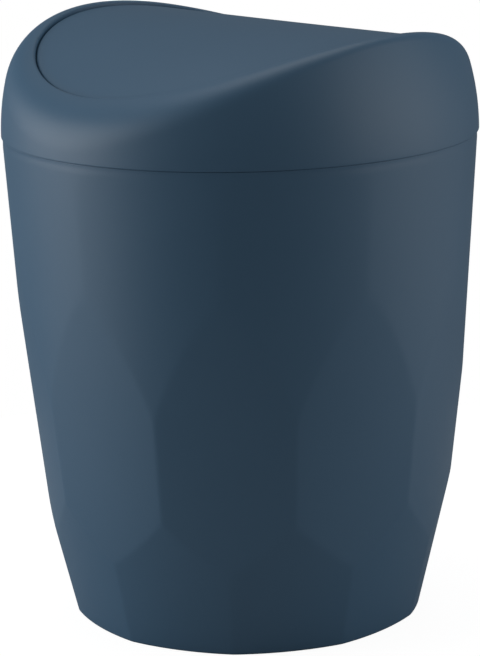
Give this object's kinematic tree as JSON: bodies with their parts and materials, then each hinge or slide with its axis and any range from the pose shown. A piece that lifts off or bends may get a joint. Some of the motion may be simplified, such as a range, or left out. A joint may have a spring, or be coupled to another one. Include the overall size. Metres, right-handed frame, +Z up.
{
  "type": "swing-lid waste bin",
  "caption": "Small round kitchen waste bin: a faceted tapering bucket under a saddle-topped lid with a round flap that swings both ways.",
  "frame": {"origin": "on the floor under the bin's axis, at the bottom centre of the whole bin", "axes": "+Z up along the bin's axis; X along the flap's pins through the two high sides of the saddle; the saddle falls towards +Y and -Y"},
  "size_m": [0.2004, 0.2004, 0.2534],
  "materials": {
    "bucket_plastic": "satin slate blue moulded plastic",
    "lid_plastic": "satin slate blue moulded plastic",
    "pin_plastic": "dark moulded plastic"
  },
  "bodies": {
    "bucket": {"bucket": "bucket_plastic"},
    "cover": {"lid_cover": "lid_plastic"},
    "flap": {"swing_flap": "lid_plastic", "pivot_pin_right": "pin_plastic", "pivot_pin_left": "pin_plastic"}
  },
  "joints": [
    {"name": "lid_lift", "type": "slide", "parent": "bucket", "child": "cover", "axis": [0, 0, 1], "range_m": [0, 0.12]},
    {"name": "flap_swing", "type": "hinge", "parent": "cover", "child": "flap", "pos_m": [0, 0, 0.2465], "axis": [1, 0, 0], "range_deg": [-75, 75]}
  ]
}
